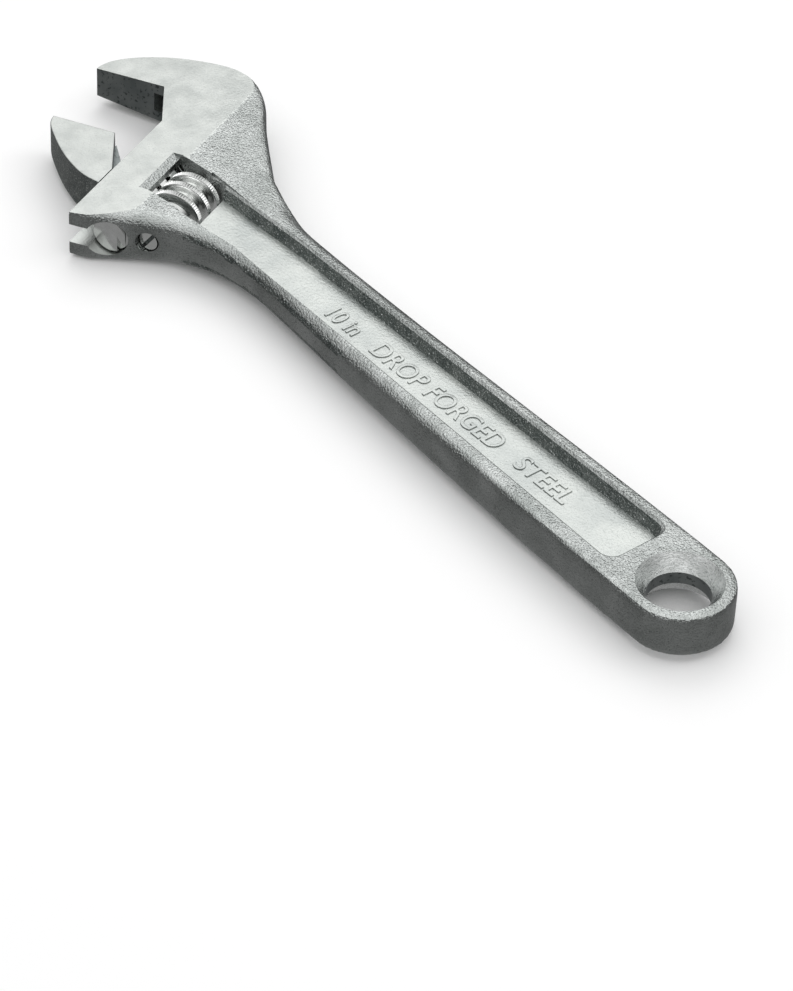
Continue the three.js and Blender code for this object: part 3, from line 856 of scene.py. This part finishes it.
# Knurl pin with its slotted head
pinSet = {"radius": 2.0, "headRadius": 2.5, "headLength": 5.5, "headQ": -52.1, "topQ": -17.2,
          "slotWidth": 0.9, "slotDepth": 1.1, "slotTurn": 36, "edge": 0.25}
pinP = openingSet["pinP"]
pin = roundRod("knurl_pin_turned", pinSet["headRadius"] * mm, headPoint(pinP, pinSet["headQ"]),
               headPoint(pinP, pinSet["headQ"] + pinSet["headLength"]), 48)
shank = roundRod("shank", pinSet["radius"] * mm, headPoint(pinP, pinSet["headQ"] + 1),
                 headPoint(pinP, pinSet["topQ"]), 48)
joinTo(pin, shank)
bpy.ops.object.select_all(action="DESELECT")
bpy.ops.mesh.primitive_cube_add(size=1)
slotTool = bpy.context.object
slotFrame = Matrix((alongP, upward, alongQ)).transposed().to_4x4()
slotTool.data.transform(
    Matrix.Translation(headPoint(pinP, pinSet["headQ"])) @ slotFrame
    @ Matrix.Rotation(math.radians(pinSet["slotTurn"]), 4, "Z")
    @ Matrix.Diagonal((pinSet["slotWidth"] * mm, 8 * mm, 2 * pinSet["slotDepth"] * mm, 1)))
cutAway(pin, [slotTool])
breakEdges(pin, pinSet["edge"], 50)
shadeByShape(pin, 32)


def pinFinish(face):
    # 0 turned faces, 1 the slot
    p, q = headPQ(face.center)
    out = math.hypot(p - pinP, (face.center.z - headCorner.z) / mm)
    depth = q - pinSet["headQ"]
    inSlot = 0.1 < depth < pinSet["slotDepth"] + 0.1 and out < pinSet["headRadius"] - 0.3
    return 1 if inSlot else 0


coatPiece(pin, [brightSteel, jawSteelAndPaintedShade], pinFinish)
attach(pin, "wrench_body")
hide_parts("knurl_pin")
print("pin turned")

# Spring inside the knurl keeps its frame shape
spring = frame["nodes"]["knurl_spring"]
spring.data.materials.clear()
spring.data.materials.append(springSteel)

# Table
bpy.ops.mesh.primitive_plane_add(size=6, location=(0, 0, 0))
table = bpy.context.object
table.name = "table"
table.visible_glossy = False  # the steel reflects the dim studio, not the table
tableTop = bpy.data.materials.new("paleTable")
tableTop.use_nodes = True
tableShader = tableTop.node_tree.nodes["Principled BSDF"]
tableShader.inputs["Base Color"].default_value = (0.94, 0.94, 0.94, 1)
tableShader.inputs["Roughness"].default_value = 0.8
table.data.materials.append(tableTop)

# Camera
cameraSet = {
    "place": (625.23, -528.08, 649.02),
    "look": (-0.580251, 0.496914, -0.645279),
    "rollDegrees": 2.5296,
    "lens": 196.55,
}
cameraData = bpy.data.cameras.new("camera")
camera = bpy.data.objects.new("camera", cameraData)
bpy.context.scene.collection.objects.link(camera)
look = Vector(cameraSet["look"]).normalized()
side = look.cross(upward).normalized()
top = side.cross(look)
turn = math.radians(cameraSet["rollDegrees"])
sideTurned = side * math.cos(turn) + top * math.sin(turn)
topTurned = top * math.cos(turn) - side * math.sin(turn)
basis = Matrix((sideTurned, topTurned, -look)).transposed()
camera.matrix_world = Matrix.Translation(Vector(cameraSet["place"]) * mm) @ basis.to_4x4()
cameraData.sensor_fit = "HORIZONTAL"
cameraData.sensor_width = 36
cameraData.lens = cameraSet["lens"]
cameraData.clip_start = 0.01
bpy.context.scene.camera = camera

# Soft studio: bright overhead, dim at the horizon
studioSet = {
    # place on the ramp from straight down to straight up, and the light's level there
    "sky": ((0.0, 0.30), (0.3, 0.24), (0.46, 0.09), (0.53, 0.09), (0.66, 0.5), (0.82, 1.0),
            (1.0, 1.25)),
    "backPower": 3.0,
    "sidePower": 1.2,
}
world = bpy.data.worlds.new("studio")
bpy.context.scene.world = world
world.use_nodes = True
nodes, links = world.node_tree.nodes, world.node_tree.links
direction = nodes.new("ShaderNodeTexCoord")
split = nodes.new("ShaderNodeSeparateXYZ")
height = nodes.new("ShaderNodeMapRange")
height.inputs["From Min"].default_value = -1
height.inputs["From Max"].default_value = 1
sky = nodes.new("ShaderNodeValToRGB")
while len(sky.color_ramp.elements) < len(studioSet["sky"]):
    sky.color_ramp.elements.new(0.5)
for element, (position, level) in zip(sky.color_ramp.elements, studioSet["sky"]):
    element.position = position
    element.color = (level, level, level, 1)
links.new(direction.outputs["Generated"], split.inputs["Vector"])
links.new(split.outputs["Z"], height.inputs["Value"])
links.new(height.outputs["Result"], sky.inputs["Fac"])
links.new(sky.outputs["Color"], nodes["Background"].inputs["Color"])


def softBox(name, place, target, size, power):
    data = bpy.data.lights.new(name, "AREA")
    data.shape = "RECTANGLE"
    data.size, data.size_y = size
    data.energy = power
    light = bpy.data.objects.new(name, data)
    bpy.context.scene.collection.objects.link(light)
    light.location = place
    light.rotation_euler = (Vector(target) - Vector(place)).to_track_quat("-Z", "Y").to_euler()


softBox("backBox", (-0.7, 0.6, 0.95), (0, 0, 0), (1.0, 0.8), studioSet["backPower"])
softBox("sideBox", (0.5, 0.8, 0.9), (0, 0, 0), (0.6, 0.6), studioSet["sidePower"])
bpy.context.scene.view_settings.view_transform = "Standard"
